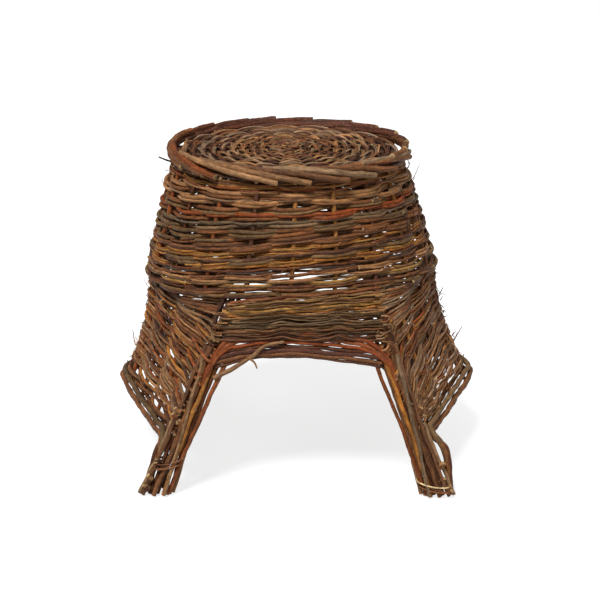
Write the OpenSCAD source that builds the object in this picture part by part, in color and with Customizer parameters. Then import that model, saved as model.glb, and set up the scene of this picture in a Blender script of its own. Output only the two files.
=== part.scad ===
// Woven willow garden stand: a round woven top on a flaring basket body that ends in four feet,
// with a high arch at the front and back and a low arch under each side.
// Origin: on the ground under the middle of the top. +X right, -Y front, +Z up. Millimetres.

/* [Overall] */
// Height from the ground to the top of the rim rods
height = 383; // [340:1:460]
// Outer diameter of the rim
rim_diameter = 306; // [255:1:350]
// How much further out the stakes stand at the waist than under the rim
waist_flare = 25.5; // [18:0.5:32]
// Width over the two side borders at their widest
side_width = 452; // [400:1:520]
// Distance between the middles of the left and right feet
foot_span_x = 336; // [290:1:380]
// Distance between the middles of the front and back feet
foot_span_y = 350; // [310:1:390]

/* [Arches] */
// Height of the underside of the front and back arches
arch_height = 178; // [150:1:200]
// Height from the underside of the front and back arches to the waist
panel_height = 67; // [60:1:75]
// Distance between the middles of two legs where an arch meets them
shoulder_width = 196; // [170:1:224]
// Height of the underside of the side borders at their middle
side_arch_height = 84; // [70:1:110]
// How much lower a side border is where it meets a leg
side_arch_fall = 20; // [8:1:30]

/* [Rods] */
// Diameter of an upright stake
stake_d = 6; // [5:0.1:7.2]
// Diameter of a rim rod
rim_rod_d = 7.5; // [6:0.1:8]
// Diameter of a leg rod
leg_rod_d = 7.5; // [6:0.1:9]
// Diameter of a side border rod
border_rod_d = 7.5; // [6:0.1:9]
// Diameter of a rod of the front and back arches
arch_rod_d = 6.5; // [5:0.1:7]
// Diameter of a base stick of the round top
base_stick_d = 7; // [6:0.1:8]
// Diameter of a weaver of the round top
disc_rod_d = 4.4; // [3:0.1:5]
// Diameter of the thin rods wrapped round each leg
wrap_rod_d = 3; // [2:0.1:4]
// Clearance between rods that lie against each other
fit_gap = 0.3; // [0.2:0.05:0.5]

/* [Weave] */
// Height of one woven row of the body
row_h = 9.6; // [7:0.1:10.5]
// Thickness of one woven row of the body
row_t = 5; // [4:0.1:6]
// Height of one woven row of the arch panels
panel_row_h = 8; // [6:0.1:8.5]

/* [Hidden] */
body_rows = 9;
side_rows = 9;
panel_rows = 4;
arch_rods = 3;
disc_rings = 10;
lashing_rings = 3;
leg_offsets = [-2, -1, 1, 2];
wrap_turns = 3;
$fn = 48;

// The twenty stakes and the ends of the ten base sticks share one set of directions.
stake_count = 20;
stake_step = 360 / stake_count;
first_stake = stake_step / 2;
sides_of_rod = 6;
sides_of_thin_rod = 5;

// The rim rods climb from under the disc's edge to the outside of the rim, three at each place.
rim_r = rim_diameter / 2 - rim_rod_d / 2;
rim_layers = 3;
rim_nest = 0.965;
rim_slope = 47.4;
rim_pitch = rim_rod_d * rim_nest + fit_gap;
rim_run = rim_pitch * rim_layers * cos(rim_slope);
rim_fall = rim_pitch * rim_layers * sin(rim_slope);
rim_top_z = height - rim_rod_d / 2;
rim_bends = 6;

// Distance that a point must keep below the slope on which the rim rods lie.
rim_clear = (rim_rod_d / 2 + fit_gap) / cos(rim_slope);
function rim_slope_z(r) = rim_top_z - (r - rim_r + rim_run) * tan(rim_slope);

// The disc lies under the inner rim rods, and its sticks end a little way under the slope.
stick_r = base_stick_d / 2;
stick_tuck = 3;
stick_end_r = rim_r - rim_run + stick_tuck;

// Slits at the middle of the top: half of their length, and the thickness of the sticks in them.
hub_half = 24;
hub_slot_half = hub_half * tan(2 * stake_step) + stick_r + fit_gap;
hub_tongue = 3;

// The stakes stand just outside the ends of the base sticks.
stake_r = stake_d / 2;
stake_top_r = stick_end_r + stake_r + fit_gap;
stake_top_z = rim_slope_z(stake_top_r + stake_r) - rim_clear;

// The sticks lie under the rim rods, and low enough for their ends to meet the stakes.
stake_seat = 0.1;
disc_z = min(
    rim_slope_z(stick_end_r) - rim_clear - stick_r,
    stake_top_z + stick_r - stake_seat
);

// Space between the end of one woven area and the start of the next.
row_gap = 1;

// Outline of the stakes: round down to the waist, then flaring to the side borders.
row_out = stake_r + fit_gap + row_t / 2;
waist_z = arch_height + panel_height;
waist_r = stake_top_r + waist_flare;
border_out = stake_r + 3 * fit_gap + border_rod_d / 2;
panel_out = row_out + fit_gap;
side_r = side_width / 2 - border_out - border_rod_d / 2;
border_pitch = border_rod_d + fit_gap;
border_mid_z = side_arch_height + border_rod_d / 2 + border_pitch;
body_curve = 1.2;
flare_bow = 0.09;
corner_power = 2.4;
waist_blend = 60;

function round_r(z) =
    stake_top_r + (waist_r - stake_top_r) * pow((stake_top_z - z) / (stake_top_z - waist_z), body_curve);
function flare(v) = v - flare_bow * sin(360 * v);
function side_stake_r(z) =
    waist_r + (side_r - waist_r) * flare((waist_z - z) / (waist_z - border_mid_z));

// Legs: straight lines in the arch planes, from the waist's corner stakes to the feet.
corner_turn = 3.5 * stake_step;
leg_top_z = arch_height + arch_rods * (arch_rod_d + fit_gap) + 2 * fit_gap;
arch_plane = waist_r * sin(4.5 * stake_step);
shoulder = [shoulder_width / 2, -arch_plane - stake_r + leg_rod_d / 2, arch_height];
foot = [foot_span_x / 2, -foot_span_y / 2, 0];
waist_corner = [waist_r * cos(corner_turn), -waist_r * sin(corner_turn), waist_z];
function on_line(a, b, z) = a + (b - a) * (z - a[2]) / (b[2] - a[2]);
function leg_at(z) =
    z < leg_top_z ? on_line(shoulder, foot, z)
                  : on_line(on_line(shoulder, foot, leg_top_z), waist_corner, z);
leg_dir = unit(foot - shoulder);
leg_side = unit(cross(leg_dir, [0, 1, 0]));
leg_back = cross(leg_side, leg_dir);
leg_pitch = leg_rod_d + fit_gap;
leg_pitch_x = leg_pitch / abs(leg_side[0]);
leg_back_gap = leg_rod_d / 2 + fit_gap + row_t / 2;

// Only the straight leg rods reach the ground; the bent rods beside them end just above it.
rod_end_z = 1;

// Vectors and swept rods.
function unit(v) = v / norm(v);
function flat(v) = [v[0], v[1], 0];
function turned(r, a, z) = [r * cos(a), r * sin(a), z];
function outward(t) = unit(cross(flat(t), [0, 0, 1]));
function next_of(path, i, closed) = closed ? (i + 1) % len(path) : min(i + 1, len(path) - 1);
function last_of(path, i, closed) = closed ? (i + len(path) - 1) % len(path) : max(i - 1, 0);
function tangent(path, i, closed) =
    unit(path[next_of(path, i, closed)] - path[last_of(path, i, closed)]);
function section(p, t, ref, w, h, n) =
    let (s = unit(cross(t, ref)), u = cross(s, t))
    [for (k = [0 : n - 1]) p + s * w / 2 * cos(360 * (k + 0.5) / n) + u * h / 2 * sin(360 * (k + 0.5) / n)];

// A rod w wide and h high along a path; refs gives the direction of its height at each point.
module rod(path, refs, w, h, n = sides_of_rod, closed = false) {
    m = len(path);
    points = [for (i = [0 : m - 1]) each section(path[i], tangent(path, i, closed), refs[i], w, h, n)];
    walls = [
        for (i = [0 : closed ? m - 1 : m - 2]) for (k = [0 : n - 1])
            [i * n + k, i * n + (k + 1) % n, ((i + 1) % m) * n + (k + 1) % n, ((i + 1) % m) * n + k]
    ];
    caps = closed ? [] : [[for (k = [n - 1 : -1 : 0]) k], [for (k = [0 : n - 1]) (m - 1) * n + k]];
    polyhedron(points, concat(walls, caps));
}

module round_rod(path, ref, d, n = sides_of_rod) {
    rod(path, [for (p = path) ref], d, d, n);
}

// A straight round rod between two points.
module bar(a, b, d) {
    v = b - a;
    translate(a)
        rotate([0, acos(v[2] / norm(v)), atan2(v[1], v[0])])
            cylinder(d = d, h = norm(v));
}

// Round top: ten base sticks, five of them slit at the middle and five threaded through the slits.
function stick_point(j, s, r) = [s * r * cos(stake_step * j), r * sin(stake_step * j), 0];

module base_stick(j) {
    hub_r = hub_half / cos(stake_step * j);
    path = [
        stick_point(j, -1, stick_end_r), stick_point(j, -1, hub_r),
        stick_point(j, 1, hub_r), stick_point(j, 1, stick_end_r)
    ];
    round_rod(path, [0, 0, 1], base_stick_d);
}

module base_sticks_slit() {
    color("saddlebrown") translate([0, 0, disc_z]) rotate(first_stake)
        for (j = [-2 : 2]) difference() {
            base_stick(j);
            cube([hub_slot_half * 2, hub_half * 2, hub_tongue + fit_gap], center = true);
        }
}

module base_sticks_threaded() {
    color("peru") translate([0, 0, disc_z]) rotate(first_stake + 90)
        for (j = [-2 : 2]) difference() {
            base_stick(j);
            for (s = [-1, 1])
                translate([0, 0, s * (hub_tongue + base_stick_d) / 2])
                    cube([hub_slot_half * 2, hub_half * 2, base_stick_d], center = true);
        }
}

disc_rod_out = stick_r + fit_gap + disc_rod_d / 2;
disc_pitch = disc_rod_d + 2 * fit_gap;
lashing_r = hub_half / cos(2 * stake_step) + disc_pitch;

// Plain turns above and below the sticks, which hold the middle together.
module centre_lashing() {
    color("tan") for (i = [0 : lashing_rings - 1]) for (s = [-1, 1])
        translate([0, 0, disc_z + s * disc_rod_out])
            rotate_extrude() translate([lashing_r + i * disc_pitch, 0]) circle(d = disc_rod_d);
}

// The woven rings lie between the lashing and the ends of the sticks.
disc_first_r = lashing_r + 5 * disc_pitch;
disc_last_r = stick_end_r - stick_r - disc_rod_d;
function disc_ring_r(i) = disc_first_r + i * (disc_last_r - disc_first_r) / (disc_rings - 1);
disc_touch = stick_r + fit_gap + disc_rod_d / 2 * cos(180 / sides_of_thin_rod);
function disc_swing(r) =
    let (bay = 2 * r * sin(stake_step / 2)) disc_touch / sqrt(1 - pow(2 * disc_touch / bay, 2));

// One weaver of the round top, over and under the sticks in turn.
module disc_ring(i) {
    r = disc_ring_r(i);
    path = [
        for (k = [0 : stake_count - 1])
            turned(r, first_stake + k * stake_step, disc_z + disc_swing(r) * ((k + i) % 2 == 0 ? 1 : -1))
    ];
    rod(path, [for (p = path) [0, 0, 1]], disc_rod_d, disc_rod_d, sides_of_thin_rod, true);
}

module disc_weave_inner() {
    color("peru") for (i = [0 : disc_rings / 2 - 1]) disc_ring(i);
}

module disc_weave_outer() {
    color("sienna") for (i = [disc_rings / 2 : disc_rings - 1]) disc_ring(i);
}

// Rim: rods that start under the disc's edge and run round and outwards over their neighbours.
module rim_rods() {
    span = stake_step * rim_layers - 1;
    color("burlywood") for (k = [0 : stake_count - 1]) {
        path = [
            for (i = [0 : rim_bends])
                let (u = i / rim_bends)
                turned(rim_r - rim_run * (1 - u), k * stake_step + u * span, rim_top_z - rim_fall * u)
        ];
        round_rod(path, [0, 0, 1], rim_rod_d);
    }
}

// Stakes.
// A point on a side at a height: t runs from -1 at the front leg to 1 at the back leg.
function side_point(t, z) =
    let (
        leg = leg_at(z),
        r = side_stake_r(z),
        y = (-leg[1] - leg_back_gap) * t,
        round_x = sqrt(r * r - y * y),
        flared_x = r - (r - leg[0] - 2 * leg_pitch_x) * pow(abs(t), corner_power),
        share = min(1, (waist_z - z) / waist_blend)
    )
    [round_x + (flared_x - round_x) * share, y, z];
function border_z(t) = border_mid_z - side_arch_fall * t * t;
side_turns = [-2.5, -1.5, -0.5, 0.5, 1.5, 2.5];
function side_share(turn) =
    waist_r * sin(turn * stake_step) / (-waist_corner[1] - leg_back_gap);

round_stake_steps = 4;
side_stake_steps = 9;
function round_part(a) = [
    for (i = [0 : round_stake_steps])
        let (z = stake_top_z + (waist_z - stake_top_z) * i / round_stake_steps)
        turned(round_r(z), a, z)
];

// A stake of a side: down the round body, then out with the flare to the side border.
module side_stake(turn) {
    t = side_share(turn);
    low = border_z(t) - border_rod_d / 2;
    flared = [
        for (i = [1 : side_stake_steps])
            side_point(t, waist_z + (low - waist_z) * i / side_stake_steps)
    ];
    round_rod(concat(round_part(turn * stake_step), flared), [0, 1, 0], stake_d);
}

// A stake at the middle of an arch: down the round body and behind the arch rods.
module arch_stake(turn) {
    a = -90 + turn * stake_step;
    low = arch_height + arch_rod_d / 2;
    path = concat(round_part(a), [[waist_r * cos(a), -arch_plane, low]]);
    round_rod(path, [1, 0, 0], stake_d);
}

// A stake at the corner of an arch, which runs on down the leg to the ground.
module corner_stake(s) {
    down = [for (z = [leg_top_z, arch_height, arch_height / 2, rod_end_z]) leg_at(z)];
    round = round_part(-90 + s * 1.5 * stake_step);
    round_rod(concat(round, [for (p = down) [s * p[0], p[1], p[2]]]), [0, 1, 0], stake_d);
}

module arch_stake_set() {
    for (turn = [-0.5, 0.5]) arch_stake(turn);
}

module corner_stake_set() {
    for (s = [-1, 1]) corner_stake(s);
}

module side_stake_set() {
    for (turn = side_turns) side_stake(turn);
}

module front_arch_stakes() {
    color("saddlebrown") arch_stake_set();
}

module back_arch_stakes() {
    color("saddlebrown") rotate(180) arch_stake_set();
}

module front_corner_stakes() {
    color("brown") corner_stake_set();
}

module back_corner_stakes() {
    color("brown") rotate(180) corner_stake_set();
}

module right_stakes() {
    color("sienna") side_stake_set();
}

module left_stakes() {
    color("sienna") rotate(180) side_stake_set();
}

// Full rows of the body, in front of and behind the stakes in turn.
stake_end_gap = 3;
body_first_z = stake_top_z - row_h / 2 - stake_end_gap;
body_last_z = waist_z + row_h / 2;

// Short steps along a height and along a side, which give the slopes there.
slope_step = 2;
turn_step = 0.05;

module body_row(i) {
    z = body_first_z + (body_last_z - body_first_z) * i / (body_rows - 1);
    slope = (round_r(z - slope_step) - round_r(z + slope_step)) / (2 * slope_step);
    turns = [for (k = [0 : 2 * stake_count - 1]) k];
    path = [
        for (k = turns)
            let (swing = k % 2 == 1 ? 0 : ((k / 2 + i) % 2 == 0 ? 1 : -1))
            turned(round_r(z) + swing * row_out, first_stake + k * stake_step / 2, z)
    ];
    refs = [for (k = turns) turned(slope, 180 + first_stake + k * stake_step / 2, 1)];
    rod(path, refs, row_t, row_h, sides_of_rod, true);
}

module body_row_1() { color("peru") body_row(0); }
module body_row_2() { color("tan") body_row(1); }
module body_row_3() { color("saddlebrown") body_row(2); }
module body_row_4() { color("sienna") body_row(3); }
module body_row_5() { color("peru") body_row(4); }
module body_row_6() { color("saddlebrown") body_row(5); }
module body_row_7() { color("goldenrod") body_row(6); }
module body_row_8() { color("sienna") body_row(7); }
module body_row_9() { color("saddlebrown") body_row(8); }

// Rows of one side, from behind the front leg round to behind the back leg.
side_first_z = waist_z - row_h / 2 - row_gap;
side_row_clear = border_rod_d / 2 + fit_gap + row_h / 2 + row_gap;

function side_row_z(i, t) =
    side_first_z + (border_z(t) + side_row_clear - side_first_z) * i / (side_rows - 1);
function side_ref(t, z) =
    unit(side_point(t, z + slope_step) - side_point(t, z - slope_step));
function side_out(t, z) =
    outward(side_point(t + turn_step, z) - side_point(t - turn_step, z));
// Room beside a leaning stake, measured level: it grows with the stake's lean.
function side_row_out(t, z) =
    let (lean = side_ref(t, z) * side_out(t, z)) row_out / sqrt(1 - lean * lean) + fit_gap;
function behind_leg(s, z, offset) =
    let (leg = leg_at(z)) [leg[0] + offset * leg_pitch_x, s * (-leg[1] - leg_back_gap), z];

module side_row(i) {
    turns = [for (k = [-5 : 5]) k / 2];
    woven = [
        for (k = [0 : len(turns) - 1])
            let (t = side_share(turns[k]), z = side_row_z(i, t))
            let (swing = k % 2 == 1 ? 0 : ((k / 2 + i) % 2 == 0 ? 1 : -1))
            side_point(t, z) + side_out(t, z) * swing * side_row_out(t, z)
    ];
    end_z = side_row_z(i, 1);
    front = [behind_leg(-1, end_z, -2), behind_leg(-1, end_z, 2)];
    back = [behind_leg(1, end_z, 2), behind_leg(1, end_z, -2)];
    leg_ref = unit(leg_at(end_z + slope_step) - leg_at(end_z - slope_step));
    back_ref = [leg_ref[0], -leg_ref[1], leg_ref[2]];
    refs = concat(
        [leg_ref, leg_ref],
        [for (turn = turns) let (t = side_share(turn)) side_ref(t, side_row_z(i, t))],
        [back_ref, back_ref]
    );
    rod(concat(front, woven, back), refs, row_t, row_h);
}

module right_row_1() { color("peru") side_row(0); }
module right_row_2() { color("sienna") side_row(1); }
module right_row_3() { color("tan") side_row(2); }
module right_row_4() { color("peru") side_row(3); }
module right_row_5() { color("sienna") side_row(4); }
module right_row_6() { color("saddlebrown") side_row(5); }
module right_row_7() { color("peru") side_row(6); }
module right_row_8() { color("sienna") side_row(7); }
module right_row_9() { color("tan") side_row(8); }
module left_row_1() { color("peru") rotate(180) side_row(0); }
module left_row_2() { color("sienna") rotate(180) side_row(1); }
module left_row_3() { color("tan") rotate(180) side_row(2); }
module left_row_4() { color("peru") rotate(180) side_row(3); }
module left_row_5() { color("sienna") rotate(180) side_row(4); }
module left_row_6() { color("saddlebrown") rotate(180) side_row(5); }
module left_row_7() { color("peru") rotate(180) side_row(6); }
module left_row_8() { color("sienna") rotate(180) side_row(7); }
module left_row_9() { color("tan") rotate(180) side_row(8); }

// Arch panels: short rows across the four stakes above an arch, in front of both corner stakes.
panel_top_z = waist_z - panel_row_h / 2 - row_gap;
panel_low_z = leg_top_z + panel_row_h / 2 + row_gap;
panel_overhang = 8;

function panel_stake(s, z) =
    abs(s) > 1 ? [sign(s) * leg_at(z)[0], leg_at(z)[1], z]
               : [s * waist_r * cos(-90 + stake_step / 2), -arch_plane, z];

module panel_row(i) {
    z = panel_top_z + (panel_low_z - panel_top_z) * i / (panel_rows - 1);
    stakes = [for (s = [-2, -1, 1, 2]) panel_stake(s, z)];
    mid_swing = i % 2 == 0 ? [1, -1] : [-1, 1];
    swings = [1, mid_swing[0], mid_swing[1], 1];
    woven = [
        for (k = [0 : 3])
            let (t = stakes[min(k + 1, 3)] - stakes[max(k - 1, 0)])
            stakes[k] + outward(t) * swings[k] * panel_out
    ];
    run = unit(flat(woven[1] - woven[0]));
    run_back = unit(flat(woven[3] - woven[2]));
    mids = [for (k = [0 : 2]) (woven[k] + woven[k + 1]) / 2];
    path = [
        woven[0] - run * panel_overhang, woven[0], mids[0], woven[1], mids[1],
        woven[2], mids[2], woven[3], woven[3] + run_back * panel_overhang
    ];
    rod(path, [for (p = path) [0, 0, 1]], row_t, panel_row_h);
}

module panel_weave() {
    for (i = [0 : panel_rows - 1]) panel_row(i);
}

module front_panel() {
    color("goldenrod") panel_weave();
}

module back_panel() {
    color("goldenrod") rotate(180) panel_weave();
}

// Arch rods: laid across the front of the leg rods, under the panel.
module arch_rod_set() {
    for (i = [0 : arch_rods - 1]) {
        z = arch_height + arch_rod_d / 2 + i * (arch_rod_d + fit_gap);
        leg = leg_at(z);
        y = -arch_plane - stake_r - fit_gap - arch_rod_d / 2;
        reach = leg[0] + 2.5 * leg_pitch_x;
        bar([-reach, y, z], [reach, y, z], arch_rod_d);
    }
}

module front_arch_rods() {
    color("orangered") arch_rod_set();
}

module back_arch_rods() {
    color("orangered") rotate(180) arch_rod_set();
}

// Legs: four rods beside each corner stake, cut level with the ground. The slanting top ends
// stay clear of the panel over them.
leg_end_drop = 0.5;

module leg(sx) {
    reach = norm(foot - shoulder) * leg_top_z / arch_height;
    intersection() {
        for (k = leg_offsets) {
            top = leg_at(leg_top_z - leg_end_drop) + [k * leg_pitch_x, 0, 0];
            low = top + leg_dir * (reach + 2 * leg_rod_d);
            bar([sx * top[0], top[1], top[2]], [sx * low[0], low[1], low[2]], leg_rod_d);
        }
        translate([-side_width, -side_width, 0]) cube([2 * side_width, 2 * side_width, height]);
    }
}

module front_left_leg() {
    color("saddlebrown") leg(-1);
}

module front_right_leg() {
    color("saddlebrown") leg(1);
}

module back_left_leg() {
    color("saddlebrown") rotate(180) leg(1);
}

module back_right_leg() {
    color("saddlebrown") rotate(180) leg(-1);
}

// Side borders: rods that rise from one foot, run under the side weave and go down to the other foot.
border_bends = 8;
border_reach = 0.86;
border_behind_leg = (leg_rod_d + border_rod_d) / 2 + fit_gap;
border_leg_x = 2 * leg_pitch_x + border_behind_leg / abs(leg_side[0]);
border_ref = unit([0.6, 0, 1]);

// depth is 1 outside the stakes and -1 inside them; drop counts rods below the highest one.
module border_rod(depth, drop) {
    fall = drop * border_pitch;
    along = [
        for (i = [0 : border_bends])
            let (t = border_reach * (2 * i / border_bends - 1), z = border_z(t))
            side_point(t, z) + side_out(t, z) * depth * border_out - [0, 0, fall]
    ];
    beside_leg = depth > 0 ? [border_leg_x, fall, 0] : [2 * leg_pitch_x, border_behind_leg, 0];
    corner = leg_at(border_z(1) - fall) + beside_leg;
    ground = leg_at(rod_end_z) + beside_leg;
    back = [for (p = [corner, ground]) [p[0], -p[1], p[2]]];
    path = concat([ground, corner], along, back);
    round_rod(path, border_ref, border_rod_d);
}

module border_set() {
    border_rod(1, 0);
    border_rod(1, 1);
    border_rod(-1, 0);
}

module right_border() {
    color("olivedrab") border_set();
}

module left_border() {
    color("olivedrab") rotate(180) border_set();
}

// Thin rods wrapped round each leg, which bind the border rods to it.
wrap_z = 42;
wrap_corner = 3;
wrap_slack = 1;
wrap_out = fit_gap + wrap_rod_d / 2;

module leg_wrap(sx) {
    centre = leg_at(wrap_z);
    low = [-2 * leg_pitch, 0];
    high = [border_leg_x * abs(leg_side[0]), border_behind_leg];
    w0 = low[0] - leg_rod_d / 2 - wrap_out;
    w1 = high[0] + border_rod_d / 2 + wrap_out;
    d0 = low[1] - leg_rod_d / 2 - wrap_out - wrap_slack;
    d1 = high[1] + border_rod_d / 2 + wrap_out + wrap_slack;
    loop = [
        [w0 + wrap_corner, d0], [w1 - wrap_corner, d0], [w1, d0 + wrap_corner], [w1, d1 - wrap_corner],
        [w1 - wrap_corner, d1], [w0 + wrap_corner, d1], [w0, d1 - wrap_corner], [w0, d0 + wrap_corner]
    ];
    across = leg_side * sign(leg_side[0]);
    inward = leg_back * sign(leg_back[1]);
    for (i = [0 : wrap_turns - 1]) {
        path = [
            for (p = loop)
                let (q = centre + across * p[0] + inward * p[1] - leg_dir * i * (wrap_rod_d + fit_gap))
                [sx * q[0], q[1], q[2]]
        ];
        rod(path, [for (p = path) [sx * leg_dir[0], leg_dir[1], leg_dir[2]]],
            wrap_rod_d, wrap_rod_d, sides_of_thin_rod, true);
    }
}

module front_left_wrap() {
    color("wheat") leg_wrap(-1);
}

module front_right_wrap() {
    color("wheat") leg_wrap(1);
}

module back_left_wrap() {
    color("wheat") rotate(180) leg_wrap(1);
}

module back_right_wrap() {
    color("wheat") rotate(180) leg_wrap(-1);
}

base_sticks_slit();
base_sticks_threaded();
centre_lashing();
disc_weave_inner();
disc_weave_outer();
rim_rods();
front_arch_stakes();
back_arch_stakes();
front_corner_stakes();
back_corner_stakes();
right_stakes();
left_stakes();
body_row_1();
body_row_2();
body_row_3();
body_row_4();
body_row_5();
body_row_6();
body_row_7();
body_row_8();
body_row_9();
right_row_1();
right_row_2();
right_row_3();
right_row_4();
right_row_5();
right_row_6();
right_row_7();
right_row_8();
right_row_9();
left_row_1();
left_row_2();
left_row_3();
left_row_4();
left_row_5();
left_row_6();
left_row_7();
left_row_8();
left_row_9();
front_panel();
back_panel();
front_arch_rods();
back_arch_rods();
front_left_leg();
front_right_leg();
back_left_leg();
back_right_leg();
front_left_wrap();
front_right_wrap();
back_left_wrap();
back_right_wrap();
right_border();
left_border();
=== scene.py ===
"""Woven willow garden stand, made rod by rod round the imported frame."""
import math

import bpy
import numpy as np
from mathutils import Matrix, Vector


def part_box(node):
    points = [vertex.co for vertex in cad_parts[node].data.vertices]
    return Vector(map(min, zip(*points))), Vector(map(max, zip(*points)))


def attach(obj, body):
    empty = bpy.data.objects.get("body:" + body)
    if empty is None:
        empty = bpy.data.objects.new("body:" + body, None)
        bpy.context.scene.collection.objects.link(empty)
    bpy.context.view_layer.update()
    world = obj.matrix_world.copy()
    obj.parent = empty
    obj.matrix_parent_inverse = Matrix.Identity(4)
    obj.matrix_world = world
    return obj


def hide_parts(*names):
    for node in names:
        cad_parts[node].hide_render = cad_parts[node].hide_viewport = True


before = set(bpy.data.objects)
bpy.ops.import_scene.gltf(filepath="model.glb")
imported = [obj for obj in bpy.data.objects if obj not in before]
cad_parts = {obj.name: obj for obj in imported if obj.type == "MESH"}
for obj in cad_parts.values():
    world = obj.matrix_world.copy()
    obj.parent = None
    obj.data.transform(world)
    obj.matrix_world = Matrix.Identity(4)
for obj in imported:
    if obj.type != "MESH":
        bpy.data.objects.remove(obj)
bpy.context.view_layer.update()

# Shapes are worked out in millimetres and written to the meshes in metres.
MM = 0.001
TAU = 2 * math.pi
SEED = 7
rng = np.random.default_rng(SEED)


def corners(node):
    """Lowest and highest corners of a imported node, in millimetres."""
    low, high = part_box(node)
    return np.array(low) / MM, np.array(high) / MM


# ---------------- places, from the frame
NODES = 9  # of the round body, and of each side
ROWS_PER_NODE = 2
rows = NODES * ROWS_PER_NODE
SIDE = {-1: "left", 1: "right"}
END = {-1: "front", 1: "back"}
BAYS = 20  # spaces between the stakes of the round body
BAY = 360.0 / BAYS
ROD = 7.5  # a leg rod
STAKE = 5.6  # an upright stake
ROW_REACH = 8.0  # from the stakes' middles to the outside of a packed row

_, rim_high = corners("rim_rods")
first_low, first_high = corners("body_row_1")
last_low, last_high = corners(f"body_row_{NODES}")
panel_low, panel_high = corners("front_panel")
arch_low, arch_high = corners("front_arch_rods")
_, side_high = corners("right_border")
leg_low, leg_high = corners("front_right_leg")

top_z = rim_high[2]
rim_r = rim_high[0]
body_top_z = (first_low[2] + first_high[2]) / 2
body_low_z = (last_low[2] + last_high[2]) / 2
body_top_r = first_high[0] - ROW_REACH
body_low_r = last_high[0] - ROW_REACH
side_r = side_high[0] - 1.5 * ROD
side_z = side_high[2] - 0.5 * ROD
arch_plane = -(arch_low[1] + arch_high[1]) / 2
foot_x = leg_high[0] - 2.8 * ROD
foot_y = -leg_low[1] + 1.2 * ROD
shoulder_x = arch_high[0] - 2.6 * ROD
shoulder_z = arch_low[2]

LEAN = -14.0  # the top of the woven body leans to the left of its feet


def lean(z):
    """How far the body has leaned at a height."""
    return LEAN * z / top_z


def ring_point(az, r, z):
    """A point round the leaning body, at an azimuth, a radius and a height."""
    a = np.radians(az)
    return np.stack([lean(z) + r * np.cos(a), r * np.sin(a), z], axis=-1)


# ---------------- colours
# Bark colours as they look on a display, and one painted shade colour for rods that stand in for the
# shadow in gaps.
PALETTE = {
    "tan": (0.62, 0.44, 0.28),
    "ochre": (0.63, 0.41, 0.18),
    "straw": (0.67, 0.49, 0.25),
    "red": (0.58, 0.28, 0.12),
    "rust": (0.54, 0.29, 0.14),
    "brown": (0.48, 0.30, 0.17),
    "umber": (0.35, 0.20, 0.115),
    "olive": (0.45, 0.335, 0.21),
    "grey": (0.54, 0.42, 0.30),
    "slate": (0.25, 0.19, 0.155),
    "plum": (0.38, 0.21, 0.14),
    "cream": (0.84, 0.73, 0.54),
    "dusty": (0.63, 0.49, 0.37),
    # painted shade: a dark colour for rods set in gaps of the weave, standing in for the shadow there
    "painted_shade": (0.24, 0.14, 0.085),
}
CUT_COLOUR = (0.80, 0.66, 0.46)
FRECKLE_COLOUR = (0.74, 0.62, 0.46)


def linear(colour):
    """A display colour as scene-linear numbers."""
    c = np.asarray(colour, float)
    return np.where(c <= 0.04045, c / 12.92, ((c + 0.055) / 1.055) ** 2.4)


def shade(name):
    """A palette colour with a little chance in its lightness and warmth."""
    c = np.array(PALETTE[name]) * rng.uniform(0.88, 1.12)
    warm = rng.uniform(-0.02, 0.02)
    return np.clip(c + [warm, 0, -warm], 0.03, 0.95)


def pick(names):
    """A shade of one of the named colours."""
    return shade(names[rng.integers(len(names))])


# ---------------- rods
def distance_along(path):
    """Distance of each point of a path from its start."""
    return np.concatenate([[0], np.cumsum(np.linalg.norm(np.diff(path, axis=0), axis=1))])


def smooth_path(points, step):
    """Points about step apart on a smooth curve through the given points."""
    p = np.asarray(points, float)
    t = distance_along(p)
    slope = np.gradient(p, t, axis=0)
    count = max(3, int(math.ceil(t[-1] / step)) + 1)
    s = np.linspace(0, t[-1], count)
    i = np.clip(np.searchsorted(t, s, side="right") - 1, 0, len(t) - 2)
    span = (t[i + 1] - t[i])[:, None]
    u = ((s - t[i]) / (t[i + 1] - t[i]))[:, None]
    a = 2 * u**3 - 3 * u**2 + 1
    b = u**3 - 2 * u**2 + u
    c = -2 * u**3 + 3 * u**2
    d = u**3 - u**2
    return a * p[i] + b * span * slope[i] + c * p[i + 1] + d * span * slope[i + 1]


def wander(along, size, wave):
    """A slow random wave along a rod, of a size and a wavelength."""
    out = np.zeros_like(along)
    for share in (1.0, 0.45, 0.2):
        turn = rng.uniform(0, TAU)
        out += share * np.sin(along * TAU * rng.uniform(0.7, 1.3) / (wave * share) + turn)
    return size * out * 0.6


def unit_rows(v):
    """Each row of vectors at length 1."""
    return v / np.maximum(np.linalg.norm(v, axis=1, keepdims=True), 1e-9)


def directions(path, ref):
    """Unit vectors along a path and in two directions across it, the first square to ref."""
    tangent = unit_rows(np.gradient(path, axis=0))
    across = unit_rows(np.cross(tangent, ref))
    return tangent, across, np.cross(across, tangent)


def knotted(along, angle, width, spacing, bud):
    """How thick a rod is round each ring, with buds on alternate sides about a spacing apart."""
    swell = 1 + 0.05 * np.sin(angle * 2 + rng.uniform(0, 6))[None, :] * np.ones((len(along), 1))
    place = rng.uniform(0.2, 1.0) * spacing
    turn = rng.uniform(0, TAU)
    while place < along[-1]:
        facing = 0.25 + 0.75 * np.maximum(0, np.cos(angle - turn)) ** 2
        hump = np.exp(-((along - place) / (0.35 * width + 0.8)) ** 2)
        swell += bud * rng.uniform(0.5, 1.3) * hump[:, None] * facing[None, :]
        turn += math.pi + rng.uniform(-0.7, 0.7)
        place += spacing * rng.uniform(0.55, 1.5)
    return swell + rng.normal(0, 0.018, swell.shape)


def walls(rings, sides):
    """The faces between rings of points, each with a number of sides."""
    i = np.arange(rings - 1)[:, None] * sides
    k = np.arange(sides)[None, :]
    k2 = (k + 1) % sides
    return np.stack([i + k, i + k2, i + k2 + sides, i + k + sides], axis=-1).reshape(-1, 4)


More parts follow.
